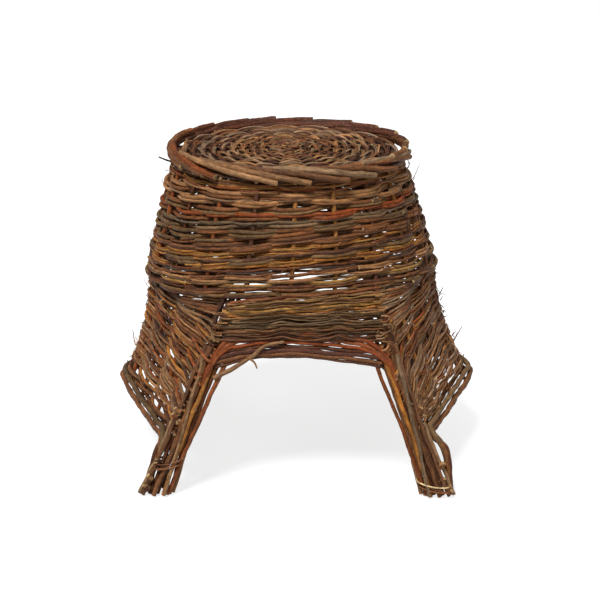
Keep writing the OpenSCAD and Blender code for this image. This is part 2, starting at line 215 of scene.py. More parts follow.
def mesh_of(name, points, faces):
    """A smooth mesh; a face that gives its first or last corner twice has three corners, not four."""
    first = faces[:, 0] == faces[:, 1]
    last = faces[:, 2] == faces[:, 3]
    whole = ~(first | last)
    loops = np.concatenate([
        faces[whole].reshape(-1),
        faces[last][:, :3].reshape(-1),
        faces[first][:, 1:].reshape(-1),
    ])
    sizes = np.sort(np.where(whole, 4, 3))[::-1]
    starts = np.concatenate([[0], np.cumsum(sizes)[:-1]])
    mesh = bpy.data.meshes.new(name)
    mesh.vertices.add(len(points))
    mesh.vertices.foreach_set("co", points.reshape(-1))
    mesh.loops.add(len(loops))
    mesh.loops.foreach_set("vertex_index", loops.astype(np.int32))
    mesh.polygons.add(len(sizes))
    mesh.polygons.foreach_set("loop_start", starts.astype(np.int32))
    mesh.update(calc_edges=True)
    mesh.validate()
    mesh.shade_smooth()
    return mesh


class Bundle:
    """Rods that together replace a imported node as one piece."""

    def __init__(self):
        self.parts = []
        self.count = 0

    def add(self, points, faces, tints, grains, cuts):
        """Take in points, their faces, and each point's colour, place in the grain and cut wood."""
        self.parts.append((points, faces + self.count, tints, grains, cuts))
        self.count += len(points)

    def rod(self, points, width, colour, tip=0.7, wobble=0.5, knots=27.0, bud=0.24, sides=7, step=3.5):
        """A willow rod along points, width thick at its start and tip times that at its end."""
        path = smooth_path(points, step)
        along = distance_along(path)
        n = len(path)
        ref = np.linalg.svd(unit_rows(np.gradient(path, axis=0)), full_matrices=False)[2][2]
        tangent, across, upward = directions(path, ref)
        path = path + across * wander(along, wobble, 60)[:, None]
        path = path + upward * wander(along, wobble, 75)[:, None]
        tangent, across, upward = directions(path, ref)
        u = along / along[-1]
        radius = width / 2 * (1 - (1 - tip) * u) * (1 + wander(along, 0.035, 28))
        angle = TAU * (np.arange(sides) + rng.uniform()) / sides
        swell = knotted(along, angle, width, knots, bud)
        cos = np.cos(angle)[None, :]
        sin = np.sin(angle)[None, :]
        cross = cos[:, :, None] * across[:, None, :] + sin[:, :, None] * upward[:, None, :]
        ring = path[:, None, :] + cross * (radius[:, None] * swell)[:, :, None]
        start = rng.uniform(0, 900)
        grain = np.empty((n, sides, 3))
        grain[:, :, 0] = along[:, None] + start
        grain[:, :, 1] = cos * width / 2 + start
        grain[:, :, 2] = sin * width / 2
        drift = 1 + wander(along, 0.10, 90)
        tint = np.clip(colour, 0, 1)[None, None, :] * drift[:, None, None] * np.ones((1, sides, 1))
        self.add(ring.reshape(-1, 3), walls(n, sides), tint.reshape(-1, 3), grain.reshape(-1, 3),
                 np.zeros(n * sides))
        for end, way in ((0, -1.0), (n - 1, 1.0)):
            self.cut_end(ring[end], tangent[end] * way, grain[end], way)

    def cut_end(self, ring, out, grain, way):
        """A pale cut face with a rounded edge; way is -1 at a rod's start and 1 at its end."""
        sides = len(ring)
        centre = ring.mean(axis=0)
        size = np.linalg.norm(ring - centre, axis=1).mean()
        inner = centre + (ring - centre) * 0.80 + out * size * 0.10
        points = np.concatenate([ring, inner, [centre + out * size * 0.06]])
        k = np.arange(sides)
        middle = np.full(sides, 2 * sides)
        fan = np.stack([k + sides, (k + 1) % sides + sides, middle, middle], axis=-1)
        faces = np.concatenate([walls(2, sides), fan])
        if way < 0:
            faces = faces[:, ::-1]
        cuts = np.concatenate([np.full(sides, 0.35), np.ones(sides + 1)])
        tints = np.tile(np.array(CUT_COLOUR) * rng.uniform(0.72, 1.05), (2 * sides + 1, 1))
        self.add(points, faces, tints, np.concatenate([grain, grain, grain[:1]]), cuts)

    def piece(self, node, slot, kind="willow", name=None):
        """The rods as one mesh object in a node's place, named after it if no name is given."""
        name = name or f"{kind}_{node}"
        points, faces, tints, grains, cuts = (np.concatenate(part) for part in zip(*self.parts))
        rgba = np.ones((self.count, 4))
        rgba[:, :3] = linear(tints)
        mesh = mesh_of(name, points * MM, faces)
        for key, form, field, values in (("tint", "FLOAT_COLOR", "color", rgba),
                                         ("grain", "FLOAT_VECTOR", "vector", grains),
                                         ("cut", "FLOAT", "value", cuts)):
            mesh.attributes.new(key, form, "POINT").data.foreach_set(field, values.reshape(-1))
        mesh.materials.append(MATERIALS[slot])
        thing = bpy.data.objects.new(name, mesh)
        bpy.context.scene.collection.objects.link(thing)
        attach(thing, "root")
        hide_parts(node)


# ---------------- materials
def node_of(tree, kind, **values):
    """A new shader node with its sockets or settings set by name."""
    made = tree.nodes.new("ShaderNode" + kind)
    for key, value in values.items():
        if key in made.inputs:
            made.inputs[key].default_value = value
        else:
            setattr(made, key, value)
    return made


def feed(tree, socket, value):
    """Link a socket to another one, or set it to a plain value."""
    if isinstance(value, bpy.types.NodeSocket):
        tree.links.new(value, socket)
    else:
        socket.default_value = value


def maths(tree, operation, a, b):
    """The result of a sum of two values."""
    made = node_of(tree, "Math", operation=operation)
    feed(tree, made.inputs[0], a)
    feed(tree, made.inputs[1], b)
    return made.outputs[0]


def mix(tree, blend, factor, a, b):
    """The result of a blend of two colours."""
    made = node_of(tree, "Mix", data_type="RGBA", blend_type=blend)
    for key, value in (("Factor", factor), ("A", a), ("B", b)):
        feed(tree, made.inputs[key], value)
    return made.outputs["Result"]


def ramp(tree, value, stops):
    """Greys that follow a value through stops, each a place and a grey."""
    made = node_of(tree, "ValToRGB")
    elements = made.color_ramp.elements
    while len(elements) < len(stops):
        elements.new(0.5)
    for element, (place, grey) in zip(elements, stops):
        element.position = place
        element.color = (grey, grey, grey, 1)
    tree.links.new(value, made.inputs["Fac"])
    return made.outputs["Color"]


def attribute(tree, name, output):
    """A value that the rods' points carry."""
    return node_of(tree, "Attribute", attribute_name=name).outputs[output]


def texture(tree, kind, output, along, around, **values):
    """A texture laid in the rods' grain, with its scales along a rod and round it."""
    mapping = node_of(tree, "Mapping", Scale=(along, around, around))
    tree.links.new(attribute(tree, "grain", "Vector"), mapping.inputs["Vector"])
    made = node_of(tree, kind, Scale=1.0, **values)
    tree.links.new(mapping.outputs["Vector"], made.inputs["Vector"])
    return made.outputs[output]


def willow(name, gloss=0.55, streaks=1.0, freckles=0.5, bark=0.0004):
    """Bark: the rod's own tint under fibres, blotches, freckles and fine wrinkles bark deep."""
    mat = bpy.data.materials.new(name)
    mat.use_nodes = True
    tree = mat.node_tree
    shader = tree.nodes["Principled BSDF"]
    tint = attribute(tree, "tint", "Color")
    fibre = texture(tree, "TexNoise", "Fac", 0.07, 1.1, Detail=4.0, Roughness=0.65)
    blotch = texture(tree, "TexNoise", "Fac", 0.13, 0.32, Detail=5.0, Roughness=0.65)
    wrinkle = texture(tree, "TexNoise", "Fac", 1.6, 0.35, Detail=2.0)
    dots = texture(tree, "TexVoronoi", "Distance", 0.30, 0.62)

    fibre_grey = ramp(tree, fibre, [(0.32, 1 - 0.50 * streaks), (0.70, 1 + 0.42 * streaks)])
    blotch_grey = ramp(tree, blotch, [(0.35, 0.48), (0.50, 0.98), (0.66, 1.38)])
    dot_grey = ramp(tree, dots, [(0.0, 1.0), (0.16, 1.0), (0.24, 0.0)])
    colour = mix(tree, "MULTIPLY", 1.0, tint, fibre_grey)
    colour = mix(tree, "MULTIPLY", 0.85, colour, blotch_grey)
    freckle = maths(tree, "MULTIPLY", dot_grey, freckles * 0.55)
    colour = mix(tree, "MIX", freckle, colour, (*linear(FRECKLE_COLOUR), 1))
    colour = mix(tree, "MIX", attribute(tree, "cut", "Fac"), colour, tint)
    tree.links.new(colour, shader.inputs["Base Color"])

    rough = ramp(tree, fibre, [(0.3, gloss + 0.16), (0.7, gloss - 0.08)])
    tree.links.new(rough, shader.inputs["Roughness"])
    bump = node_of(tree, "Bump", Strength=0.9, Distance=bark)
    tree.links.new(maths(tree, "ADD", fibre, wrinkle), bump.inputs["Height"])
    tree.links.new(bump.outputs["Normal"], shader.inputs["Normal"])
    shader.inputs["Specular IOR Level"].default_value = 0.25
    return mat


MATERIALS = {
    "weaver_willow": willow("weaver_bark"),
    "stake_willow": willow("stake_bark", gloss=0.6, streaks=0.8),
    "disc_willow": willow("disc_bark", gloss=0.58, streaks=0.9, freckles=0.4),
    "rim_willow": willow("rim_bark", gloss=0.58, streaks=1.2, freckles=0.7),
    "panel_willow": willow("panel_bark", gloss=0.55, freckles=0.3, bark=0.0003),
    "arch_willow": willow("arch_bark", gloss=0.5, streaks=0.8),
    "leg_willow": willow("leg_bark", gloss=0.6, freckles=0.7, bark=0.0005),
    "peeled_willow": willow("peeled_wood", gloss=0.5, streaks=0.5, freckles=0.1, bark=0.0002),
}


# ---------------- the body's outline
TWIST = 4.5  # degrees by which the stakes turn between the waist and the rim
DROOP = 15.0  # how much lower a row of the body lies at the sides than at the front
ROLL = 12.5  # how far a row rises to the right and falls to the left
LEVEL_ROWS = 8.0  # both grow over this many rows, from a level first one
BULGE = 3.0
WAIST_OVAL = 8.0  # how much the body widens to its sides at the waist
FIRST_ROW_UP = 9.5  # how far the first row lies over the middle of its node
LAST_ROW_DOWN = 9.0
WAIST_DOWN = 3.0  # how far under the last row the sides begin

row_first_z = body_top_z + FIRST_ROW_UP
row_last_z = body_low_z - LAST_ROW_DOWN
row_pitch = (row_first_z - row_last_z) / (rows - 1)
waist_z = row_last_z - WAIST_DOWN


def body_r(z):
    """Radius of the stakes' middles at a height of the round body."""
    share = np.clip((body_top_z - z) / (body_top_z - body_low_z), -0.12, 1.3)
    bulge = BULGE * np.sin(math.pi * np.clip(share, 0, 1))
    return body_top_r + (body_low_r - body_top_r) * share + bulge


def body_point(az, z, out):
    """A point of the body at an azimuth and a height, out from the stakes' middles."""
    share = np.clip((body_top_z - z) / (body_top_z - body_low_z), 0, 1)
    r = body_r(z) + out + WAIST_OVAL * share**3 * np.cos(np.radians(az)) ** 2
    return ring_point(az, r, z)


def row_z(row, az):
    """Height of a row, which may lie between two rows, at an azimuth."""
    share = np.clip(row / (rows - 1), 0, 1)
    a = np.radians(az)
    ease = np.clip(row / LEVEL_ROWS, 0, 1)
    droop = DROOP * ease
    roll = ROLL * ease * (0.45 + 0.75 * np.sin(math.pi * share))
    return (row_first_z + (row_last_z - row_first_z) * share
            - droop * np.cos(a) ** 2 + roll * np.cos(a))


def stake_az(k, z):
    """Azimuth of a stake at a height; stake 0 is the one in front."""
    share = np.clip((z - waist_z) / (row_first_z - waist_z), 0, 1)
    return -90 + BAY * k + TWIST * share


def weave(az, z, parity, size):
    """How far a rod stands in front of (+) or behind (-) the stakes."""
    phase = (az - stake_az(0, z)) / BAY
    wave = np.cos(math.pi * phase)
    sharp = np.sign(wave) * np.abs(wave) ** 0.8
    return size * sharp * (1 if parity % 2 == 0 else -1)


# ---------------- the body's rows
# Each row, from under the rim down: lanes of rods, then their colours.
BODY_ROWS = [
    (3, ("olive", "ochre", "brown")), (4, ("ochre", "straw", "rust", "tan")),
    (2, ("tan", "brown")), (2, ("tan", "tan", "dusty")),
    (2, ("brown", "olive", "rust")), (2, ("red", "brown", "rust")),
    (2, ("olive", "grey")), (2, ("olive", "olive", "brown")),
    (2, ("olive", "brown")), (2, ("brown", "umber")),
    (4, ("ochre", "straw", "rust", "ochre")), (2, ("olive", "umber")),
    (4, ("ochre", "rust", "straw", "ochre")), (3, ("umber", "slate", "brown")),
    (3, ("brown", "brown", "tan")), (3, ("olive", "straw", "brown")),
    (2, ("umber", "brown")), (2, ("olive", "umber")),
]
ROW_WAVES = rng.uniform(0, TAU, (rows, 2))
THICKEST_WEAVER = 5.2
BITE = 1.2  # how far a rod of the weave presses into the stakes
BODY_SHOOTS = 5  # side shoots on each row
SHOOT_FROM = 4.0  # how far out a side shoot starts
SHOOT_OVER = 24.0  # and a point straight out from there


def row_wave(row, az):
    """The slow rise and fall of one row, which opens and closes the gaps between rows."""
    first, second = ROW_WAVES[row]
    return 0.9 * np.sin(np.radians(3 * az) + first) + 0.7 * np.sin(np.radians(7 * az) + second)


def body_rod(bundle, row, lane, lanes, start, sweep, colour, turned=0):
    """One rod of a body row, woven from an azimuth over a sweep; turned passes on the other side."""
    place = row + (lane + 0.5) / lanes - 0.5
    az = np.arange(start, start + sweep + 1, BAY / 6)
    stray = rng.normal(0, 0.9) * (az - az.mean()) / 100
    z = row_z(place, az) + row_wave(row, az) + rng.normal(0, 0.5) + stray
    width = min(row_pitch / lanes * rng.uniform(1.2, 1.55), THICKEST_WEAVER)
    reach = STAKE / 2 + width / 2 - BITE
    out = weave(az, z, row + turned, reach) + rng.normal(0, 0.3)
    out[[0, -1]] += 0.7
    bundle.rod(body_point(az, z, out), width, colour, tip=rng.uniform(0.7, 0.95), wobble=0.7,
               sides=7 if width > 2.6 else 6, step=3.6)


def whisker(bundle, start, over):
    """A thin side shoot that stands off the weave; over is a point straight out from its start."""
    outward = over - start
    outward = outward / np.linalg.norm(outward)
    along = np.cross(outward, (0, 0, 1)) * rng.choice((-1, 1))
    length = rng.uniform(4, 12) * (1.8 if rng.uniform() < 0.2 else 1)
    middle = start + outward * length * 0.18 + along * length * 0.5
    lift = np.array([0, 0, rng.normal(0, 0.45)]) * length
    end = start + outward * length * rng.uniform(0.25, 0.6) + along * length + lift
    bundle.rod([start, middle, end], rng.uniform(0.9, 1.9), pick(("tan", "brown", "umber", "rust")),
               tip=0.45, wobble=0.3, knots=7, bud=0.3, sides=5, step=2)


# Long thin shoots beside the body, by node: azimuth, rise and how far each leans out.
HAIRS = {3: ((-152, 12, 10),), 5: ((-24, 30, 6), (-30, 22, 4)), 7: ((-158, 16, 9),)}
HAIR_FROM = 3.0


def hairs(bundle, index):
    """The long shoots of a node."""
    for az, rise, off in HAIRS.get(index, ()):
        z = float(row_z(index * ROWS_PER_NODE, az))
        root = body_point(az, z, HAIR_FROM)
        middle = body_point(az, z + rise * 0.4, HAIR_FROM + off * 0.8)
        end = body_point(az, z + rise, HAIR_FROM + off * 1.5)
        bundle.rod([root, middle, end], 1.4, shade("umber"), tip=0.5, wobble=0.3, knots=9, sides=5,
                   step=2)


def ring_of_rods(bundle, row, lane, lanes, names):
    """A lane of a row, of rods that follow each other round the body."""
    start = rng.uniform(60, 140)
    done = 0.0
    colour = shade(names[lane % len(names)])
    while done < 360:
        sweep = min(rng.uniform(130, 300), 376 - done)
        body_rod(bundle, row, lane, lanes, start + done, sweep, colour)
        done += sweep - 8
        colour = pick(names)


def body_node(index):
    """The rows of a node of the round body."""
    bundle = Bundle()
    hairs(bundle, index)
    for row in range(index * ROWS_PER_NODE, (index + 1) * ROWS_PER_NODE):
        lanes, names = BODY_ROWS[row]
        for lane in range(lanes):
            ring_of_rods(bundle, row, lane, lanes, names)
        for filler in (0.5, 0.0):
            if row < rows / 2 and rng.uniform() < 0.5:
                continue
            for half in (0, 180):
                body_rod(bundle, row, filler - 1 / 6, 3, half + rng.uniform(0, 60), rng.uniform(90, 190),
                         pick(names), turned=1)
        for _ in range(BODY_SHOOTS):
            az = rng.uniform(0, 360)
            z = float(row_z(row, az)) + rng.uniform(-3, 3)
            whisker(bundle, body_point(az, z, SHOOT_FROM), body_point(az, z, SHOOT_OVER))
    bundle.piece(f"body_row_{index + 1}", "weaver_willow", "woven")


# ---------------- legs, as lines
FOOT_SHIFT = {(1, -1): (-3.0, -2.2)}  # the right front foot stands a little inward and forward
TOP_SHIFT = {(1, -1): 7.0}  # and its top a little outward


def leg_line(z):
    """The share from shoulder to foot at a height, and how far out the legs stand there."""
    share = (shoulder_z - z) / shoulder_z
    return share, shoulder_x + (foot_x - shoulder_x) * share, arch_plane + (foot_y - arch_plane) * share


def leg_point(sx, sy, z):
    """Middle of a leg at a height; sx and sy are the signs of its corner."""
    share, x, y = leg_line(z)
    shift = FOOT_SHIFT.get((sx, sy), (0.0, 0.0))
    x = sx * x + shift[0] * share + TOP_SHIFT.get((sx, sy), 0.0) * (1 - share)
    return np.array([x, sy * y + shift[1] * share, z])


# ---------------- sides
SIDE_STAKES = (-0.74, -0.45, -0.15, 0.15, 0.45, 0.74)
FLARE_POWER = 1.9  # the sides fall nearly straight at first and spread at the border
CORNER_ROUND = 1.75  # how full the corners are under the body
CORNER_STRAIGHT = 1.25  # and at the border
BORDER_FALL = 16.0  # how much lower the border's ends lie than its middle
SIDE_ROLL = 3.0  # how much higher the right border lies, and lower the left one
SIDE_FALL = {1: 30.0, -1: 20.0}  # how much lower the rows half way down a side end at the legs
SIDE_WEDGE = {1: 34.0, -1: 40.0}  # how far under the body a side's first row meets the legs
WEDGE_ROWS = 4.5  # short rods fill the wedge above it, counted up from row 0
WEDGE_STEP = 0.26
LONG_ROWS = rows * 0.42  # the rows above this one reach further past the legs
FILLED_ROWS = rows * 0.45  # and those above this one have short rods between them
SIDE_SHOOTS = 6
# Rod colours of each side; the right side's list is lighter, painted light standing in for the stronger
# light on that side.
SIDE_COLOURS_WITH_PAINTED_LIGHT = {
    1: ("tan", "dusty", "brown", "tan", "dusty", "grey", "rust", "tan", "ochre", "brown"),
    -1: ("brown", "tan", "brown", "rust", "grey", "umber", "brown", "tan", "olive", "ochre"),
}


def border_line(s, t):
    """Height of the border along a side; s is 1 for the right side and -1 for the left."""
    return side_z - ROD + SIDE_ROLL * s - BORDER_FALL * t * t


def waist_line(s, t):
    """Height of the lowest body row along a side."""
    az = np.degrees(np.arcsin(np.clip(t, -1, 1) * 0.87))
    az = az if s > 0 else 180 - az
    return row_z(rows - 1, az) - 2.0


def side_point(s, t, z, out):
    """A point of a side: t runs from -1 at the front leg to 1 at the back leg."""
    t = np.asarray(t, float)
    z = np.asarray(z, float) + 0 * t
    v = (waist_z - z) / (waist_z - border_line(s, 0))
    flare = np.where(v > 0, np.maximum(v, 0) ** FLARE_POWER, v)
    _, leg_x, leg_y = leg_line(z)
    y = np.clip(t * (leg_y - 6), -leg_y - 3, leg_y + 3)
    edge = leg_x + 8
    waist_r = body_r(waist_z) + WAIST_OVAL * np.clip(1 - (y / body_low_r) ** 2, 0, 1)
    r = waist_r + (side_r - waist_r) * np.clip(flare, -0.3, 1.15)
    power = CORNER_ROUND + (CORNER_STRAIGHT - CORNER_ROUND) * np.clip(v, 0, 1)
    flared = r - (r - edge) * (np.abs(t) + 1e-6) ** power
    round_x = np.sqrt(np.maximum(r * r - y * y, 1))
    blend = np.clip(v * 3.5, 0, 1)
    x = round_x + (flared - round_x) * blend
    facing = np.arctan2(y, x * 1.6)
    fade = 1 - np.abs(t) ** 3
    x = s * (x + out * np.cos(facing)) + lean(z) * fade
    return np.stack([x, y + out * np.sin(facing), z], axis=-1)


def side_row_z(s, place, t):
    """Height of a row of a side; rows under 0 lie in the wedge between the body and row 0."""
    share = (place + 0.5) / rows
    wedge = SIDE_WEDGE[s] * np.interp(share, (-WEDGE_ROWS / rows, 0, 1), (0, 1, 0))
    share = max(share, 0.0)
    high = waist_line(s, t)
    low = border_line(s, t) + ROD
    fall = wedge + SIDE_FALL[s] * math.sin(math.pi * share) ** 2
    return high + (low - high) * share - fall * t * t


def side_weave(t, parity, size):
    """How far a side's rod stands outside (+) or inside (-) its stakes."""
    phase = np.interp(t, (-1.04, *SIDE_STAKES, 1.04), np.arange(8)) + 0.12 * np.sin(9 * t)
    wave = np.cos(math.pi * phase)
    return size * wave * (1 if parity % 2 == 0 else -1)


def side_rod(bundle, s, row, lane, lanes, t0, t1, colour):
    """One rod of a side row; the right side is woven of thinner rods."""
    place = row + (lane + 0.5) / lanes - 0.5
    t = np.linspace(t0, t1, max(8, int(26 * abs(t1 - t0))))
    z = side_row_z(s, place, t) + rng.normal(0, 0.5)
    z = z + rng.normal(0, 3.6) * t + rng.normal(0, 2.4) * np.cos(3 * t + rng.uniform(0, 6))
    width = rng.uniform(1.9, 3.0) if s > 0 else rng.uniform(2.4, 4.0)
    bite = 1.2 if s > 0 else 0.4
    out = side_weave(t, row, STAKE / 2 + width / 2 - bite) + rng.normal(0, 0.4)
    out[[0, -1]] += rng.choice((2.0, -4.0, -5.0, -4.0))
    bundle.rod(side_point(s, t, z, out), width, colour, tip=rng.uniform(0.55, 0.9), wobble=0.6,
               sides=7 if width > 2.8 else 6, step=3.8)


def short_rods(bundle, s, place, stop_range):
    """A short rod from each leg towards the middle of a side."""
    for end in (-1, 1):
        side_rod(bundle, s, place, 0, 4, end * 1.08, end * rng.uniform(*stop_range), pick(SIDE_COLOURS_WITH_PAINTED_LIGHT[s]))


def side_node(s, index):
    """The rows of a node of a side; the first node fills the wedge under the body too."""
    bundle = Bundle()
    for row in range(index * ROWS_PER_NODE, (index + 1) * ROWS_PER_NODE):
        lanes = int(rng.integers(5, 7)) if s > 0 else int(rng.integers(3, 5))
        reach = 1.09 if row < LONG_ROWS else 1.04
        colours = [pick(SIDE_COLOURS_WITH_PAINTED_LIGHT[s]) for _ in range(lanes)]
        for lane in range(lanes):
            start = -reach + rng.uniform(-0.03, 0.05)
            end = reach + rng.uniform(-0.05, 0.03)
            side_rod(bundle, s, row, lane, lanes, start, end, colours[lane])
        if row < FILLED_ROWS:
            short_rods(bundle, s, row + 0.5, (0.3, 0.6))
        for _ in range(SIDE_SHOOTS):
            t = rng.uniform(-1, 1)
            z = side_row_z(s, row, t)
            whisker(bundle, side_point(s, t, z, SHOOT_FROM), side_point(s, t, z, SHOOT_OVER))
    if index == 0:
        for place in np.arange(-WEDGE_ROWS, 0.5, WEDGE_STEP):
            short_rods(bundle, s, place, (0.05, 0.5))
    bundle.piece(f"{SIDE[s]}_row_{index + 1}", "weaver_willow", "woven")


# ---------------- stakes
STAKE_COLOURS = ("ochre", "rust", "tan", "brown", "umber", "rust")
STAKE_TOP = 17.0  # how far under the rim's top they start
FIRST_SIDE_STAKE = {1: 3, -1: 13}  # the number of each side's first stake
ARCH_STAKES = {0: -16.0, 1: 46.0}  # where the stakes behind a panel come down, by number
CORNER_STAKES = {-1: -1, 2: 1}  # the side of each corner stake's leg, by number
CORNER_STAKE = 6.2
BRACE = 5.4
# Where a corner stake leaves the body: inward, share of its way out, behind, height.
SHOULDER_BENDS = ((18, 1.0, 11, 226), (8, 0.6, 6, 204))
LEG_HEIGHTS = (170, 130, 90, 30, 2)
# Where a brace bends: inward, behind, height.
BRACE_BENDS = ((22, 24, waist_z - 2), (10, 19, 208), (2, 6, 176))
BRACE_FOOT = 140


def stake_path(k):
    """A stake from under the rim to the waist."""
    z = np.linspace(top_z - STAKE_TOP, waist_z, 10)
    return body_point(stake_az(k, z), z, 0.0)


def stake_rod(bundle, path, colour, width=STAKE):
    """A stake's rod along a path."""
    bundle.rod(path, width, colour, tip=0.9, wobble=0.5, knots=45, step=4, sides=8)


def side_stakes(s):
    """The stakes of a side, which flare out under the waist and end at the border."""
    bundle = Bundle()
    for i, t in enumerate(SIDE_STAKES):
        low_t = t if s > 0 else -t
        z = np.linspace(waist_z - 12, border_line(s, low_t) - 6, 7)
        flared = side_point(s, np.full(7, low_t), z, 0.0)
        path = np.concatenate([stake_path(FIRST_SIDE_STAKE[s] + i), flared])
        stake_rod(bundle, path, pick(STAKE_COLOURS))
    bundle.piece(f"{SIDE[s]}_stakes", "stake_willow")


def to_end(path, sy):
    """A path of the front, or the same path turned round to the back under the leaning body."""
    path = np.array(path, float)
    if sy > 0:
        share = np.clip((path[:, 2] - shoulder_z) / (waist_z - shoulder_z), 0, 1)
        path[:, 0] = 2 * lean(path[:, 2]) * share - path[:, 0]
        path[:, 1] = -path[:, 1]
    return path


def arch_stakes(sy):
    """The two stakes that end behind a panel."""
    bundle = Bundle()
    for k, x in ARCH_STAKES.items():
        low = [[x, -arch_plane + 6, 220], [x + 1, -arch_plane + 6, shoulder_z + 2]]
        path = np.concatenate([stake_path(k), low])
        stake_rod(bundle, to_end(path, sy), pick(("umber", "ochre")))
    bundle.piece(f"{END[sy]}_arch_stakes", "stake_willow")


def corner_stakes(sy):
    """The stakes that run down the legs, each with three braces from the waist."""
    bundle = Bundle()
    for k, sx in CORNER_STAKES.items():
        out = 5 + 5 * sx
        back = 5 - 5 * sx
        shoulder = [[sx * (shoulder_x - inward + out * part), -arch_plane + behind + back, z]
                    for inward, part, behind, z in SHOULDER_BENDS]
        down = [leg_point(sx, -1, z) + [sx * 6, 4, 0] for z in LEG_HEIGHTS]
        path = np.concatenate([stake_path(k)[:-1], shoulder, down])
        stake_rod(bundle, to_end(path, sy), shade("umber"), CORNER_STAKE)
        for shift in (-10, -3, 7):
            brace = [[sx * (shoulder_x - inward + shift), -arch_plane + behind, z]
                     for inward, behind, z in BRACE_BENDS]
            brace.append(leg_point(sx, -1, BRACE_FOOT) + [sx * (2 + shift), 6, 0])
            stake_rod(bundle, to_end(brace, sy), shade("umber"), BRACE)
    bundle.piece(f"{END[sy]}_corner_stakes", "stake_willow")


# ---------------- round top
DISC_DROP = 12.0  # how far the round top's edge lies under the rim's top
DISC_DOME = 4.0  # and how much higher its middle lies
HUB_R = 13.0
RING_PITCH = 6.0
SPOKES = ((26, 8), (40, 12), (math.inf, BAYS))  # how many under a ring, up to a radius
DISC_COLOURS = ("tan", "brown", "dusty", "grey", "brown", "tan", "umber", "olive", "umber")
disc_r = rim_r - 15


def disc_height(r):
    """Height of the round top at a radius."""
    return top_z - DISC_DROP + DISC_DOME * (1 - (r / disc_r) ** 2)


def disc_point(az, r, up):
    """A point over the round top."""
    a = np.radians(az)
    z = disc_height(r) + up
    return np.stack([LEAN + r * np.cos(a), r * np.sin(a), z], axis=-1)


def sticks(node, turn):
    """Five sticks, close together at the middle and spread at the rim."""
    bundle = Bundle()
    start = stake_az(0, top_z) + turn
    for spread in BAY * np.arange(-2, 3):
        bends = ((180 + spread, 1), (180 + spread * 2.0, 0.25), (-spread * 2.0, 0.25), (-spread, 1))
        points = [disc_point(start + az, (disc_r + 6) * share, -3.5) for az, share in bends]
        bundle.rod(points, 5.0, pick(("tan", "brown", "rust")), tip=0.8, wobble=0.4, step=4)
    bundle.piece(node, "stake_willow")


def twined_ring(bundle, ring, r, spokes, width):
    """Two pairs of rods twisted round each other over and under the spokes."""
    half = spokes / 2
    slant = 2.3 if ring % 2 == 0 else -2.3
    step = max(2.0, 360 / spokes / 6)
    for strand in (1, -1):
        start = rng.uniform(0, 360)
        done = 0.0
        while done < 360:
            sweep = min(rng.uniform(140, 320), 366 - done)
            az = np.arange(start + done, start + done + sweep + step, step)
            phase = np.radians((az - stake_az(0, top_z)) * half)
            up = strand * 2.4 * np.cos(phase)
            radius = r + strand * slant * np.sin(phase)
            colour = pick(DISC_COLOURS)
            for side in (-1, 1):
                w = width * rng.uniform(0.6, 0.8)
                lie = disc_point(az, radius + side * 0.45 * w, up + side * 0.2)
                bundle.rod(lie, w, colour * rng.uniform(0.82, 1.15), tip=rng.uniform(0.7, 0.95),
                           wobble=0.4, sides=6, step=2.8, bud=0.25)
            done += sweep - 4


def disc_weave():
    """The rings of the round top, over rods in a painted shade colour that close the gaps."""
    inner = Bundle()
    outer = Bundle()
    count = int((disc_r - HUB_R) / RING_PITCH)
    for ring in range(count):
        r = HUB_R + (ring + 0.5) * RING_PITCH
        spokes = next(number for limit, number in SPOKES if r < limit)
        target = inner if ring < count / 2 else outer
        twined_ring(target, ring, r, spokes, rng.uniform(2.6, 3.4))
    # Rods under the rings, coloured in painted shade so the gaps between the rings look shadowed.
    for ring in range(-2, count):
        r = HUB_R + (ring + 1.0) * RING_PITCH
        az = np.arange(0, 361, 12) + rng.uniform(0, 360)
        under = disc_point(az, np.full(len(az), r), -3.0)
        target = inner if ring < count / 2 else outer
        target.rod(under, RING_PITCH + 0.6, shade("painted_shade"), wobble=0.2, sides=6, step=5)
    inner.piece("disc_weave_inner", "disc_willow", name="woven_disc_inner")
    outer.piece("disc_weave_outer", "disc_willow", name="woven_disc_outer")


def lashing():
    """Thin rods that bind the crossing sticks at the middle."""
    bundle = Bundle()
    for ring in range(5):
        for turn in range(4):
            size = 4.0 + ring * 2.6
            az = np.linspace(turn * 90 + 12, turn * 90 + 78, 7)
            r = size * (1 + 0.25 * np.cos(np.radians((az - 45) * 4)))
            up = 2.5 + 1.2 * np.sin(np.radians((az - turn * 90) * 2))
            bundle.rod(disc_point(az, r, up), 2.5, pick(("tan", "brown", "plum")), wobble=0.2,
                       sides=6, step=2)
    bundle.piece("centre_lashing", "disc_willow", name="centre_binding")


# ---------------- rim
RIM_START = 36.0  # degrees by which a rim rod starts before its stake
RIM_SPAN = 58.0
RIM_UNDER = ((10, 9), (13, 6))  # the rods under the rim: how far down and inward each lies
FRONT_RIM = ("tan", "grey", "brown", "tan", "ochre", "brown", "rust")
BACK_RIM = ("plum", "umber", "brown")


def rim_rod(bundle, k):
    """One rod of the border, rolled outward over the edge in front and inward at the back."""
    az0 = stake_az(k, top_z) - RIM_START + rng.uniform(-3, 3)
    span = RIM_SPAN + rng.uniform(-6, 8)
    u = np.linspace(0, 1, 8)
    back = 0.5 + 0.5 * math.sin(math.radians(az0 + span / 2))
    front_r = rim_r - 17 + 16 * u**1.2
    front_z = top_z - 2 + 3 * np.sin(math.pi * u) - 13 * u**1.6
    back_r = rim_r - 4 - 11 * u
    back_z = top_z - 4 - 8 * u
    r = front_r * (1 - back) + back_r * back
    z = front_z * (1 - back) + back_z * back
    names = FRONT_RIM if back < 0.5 else BACK_RIM
    bundle.rod(ring_point(az0 + span * u, r, z), rng.uniform(7.0, 8.4), pick(names), tip=0.86,
               wobble=0.6, knots=30, bud=0.12, sides=10, step=2.6)


